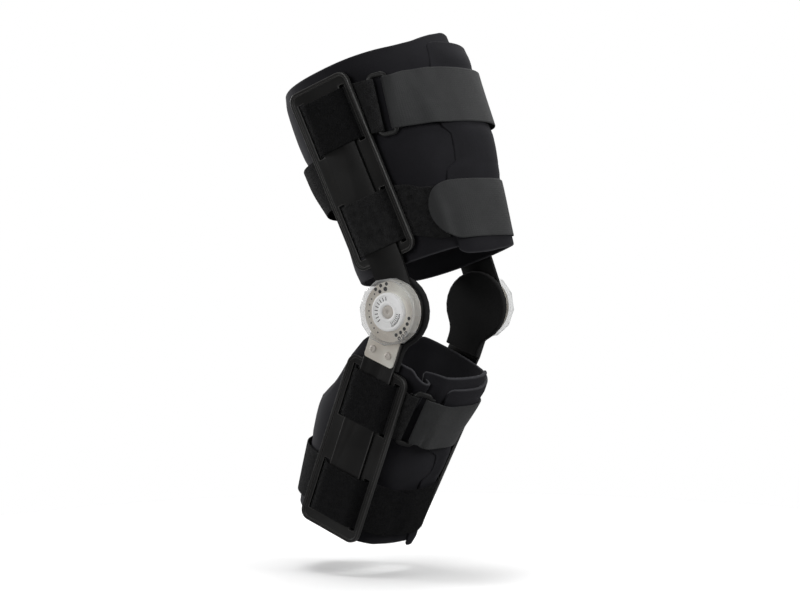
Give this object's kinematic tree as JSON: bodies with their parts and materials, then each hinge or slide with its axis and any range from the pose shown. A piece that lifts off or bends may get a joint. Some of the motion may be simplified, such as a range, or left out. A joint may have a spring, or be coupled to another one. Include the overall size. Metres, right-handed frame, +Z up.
{
  "type": "hinged knee brace",
  "caption": "Hinged knee brace in a bent, worn position: open foam thigh and calf cuffs with wrap straps, slotted strap plates, flat side bars and dial hinges that limit the bend.",
  "frame": {"origin": "middle of the knee axis, halfway between the hinges, where the brace sits on the knee", "axes": "+X to the front of the leg, +Y to its inner (medial) side, +Z up the leg; the knee axis is along Y"},
  "size_m": [0.2198, 0.1976, 0.4939],
  "materials": {
    "foam": "matte foam laminate with a knitted face",
    "plate": "satin moulded plastic",
    "bar": "black coated bar, satin",
    "webbing": "woven strap, matte",
    "pile": "brushed loop pile, matte",
    "ring": "smooth moulded plastic",
    "steel": "nickel-plated, satin",
    "clear": "clear moulded plastic",
    "frosted": "frosted white plastic",
    "rivet": "plain steel, satin",
    "pad": "foam pad with a cloth face",
    "pin": "dark coated steel"
  },
  "bodies": {
    "thigh": {"thigh_wrap": "foam", "thigh_upper_anchor": "pile", "thigh_upper_ring": "ring", "thigh_upper_strap": "webbing", "thigh_lower_anchor": "pile", "thigh_lower_strap": "webbing", "thigh_back_strap": "pile", "thigh_plate_lateral": "plate", "thigh_plate_medial": "plate", "thigh_bar_lateral": "bar", "thigh_bar_medial": "bar"},
    "calf": {"calf_wrap": "foam", "calf_upper_anchor": "pile", "calf_upper_ring": "ring", "calf_upper_strap": "webbing", "calf_lower_strap": "pile", "calf_back_strap": "pile", "calf_plate_lateral": "plate", "calf_plate_medial": "plate", "calf_bar_lateral": "bar", "calf_bar_medial": "bar", "hinge_pad_lateral": "pad", "hinge_pad_medial": "pad", "hinge_plate_lateral": "steel", "hinge_plate_medial": "steel", "dial_cover_lateral": "clear", "dial_cover_medial": "clear", "dial_hub_lateral": "frosted", "dial_hub_medial": "frosted", "pivot_lateral": "rivet", "pivot_medial": "rivet", "tab_screw_rear_lateral": "rivet", "tab_screw_rear_medial": "rivet", "tab_screw_front_lateral": "rivet", "tab_screw_front_medial": "rivet", "extension_pin_lateral": "pin", "extension_pin_medial": "pin", "flexion_pin_lateral": "pin", "flexion_pin_medial": "pin"}
  },
  "joints": [
    {"name": "knee_flexion", "type": "hinge", "parent": "thigh", "child": "calf", "pos_m": [0, 0, 0], "axis": [0, 1, 0], "range_deg": [-42, 61]}
  ]
}
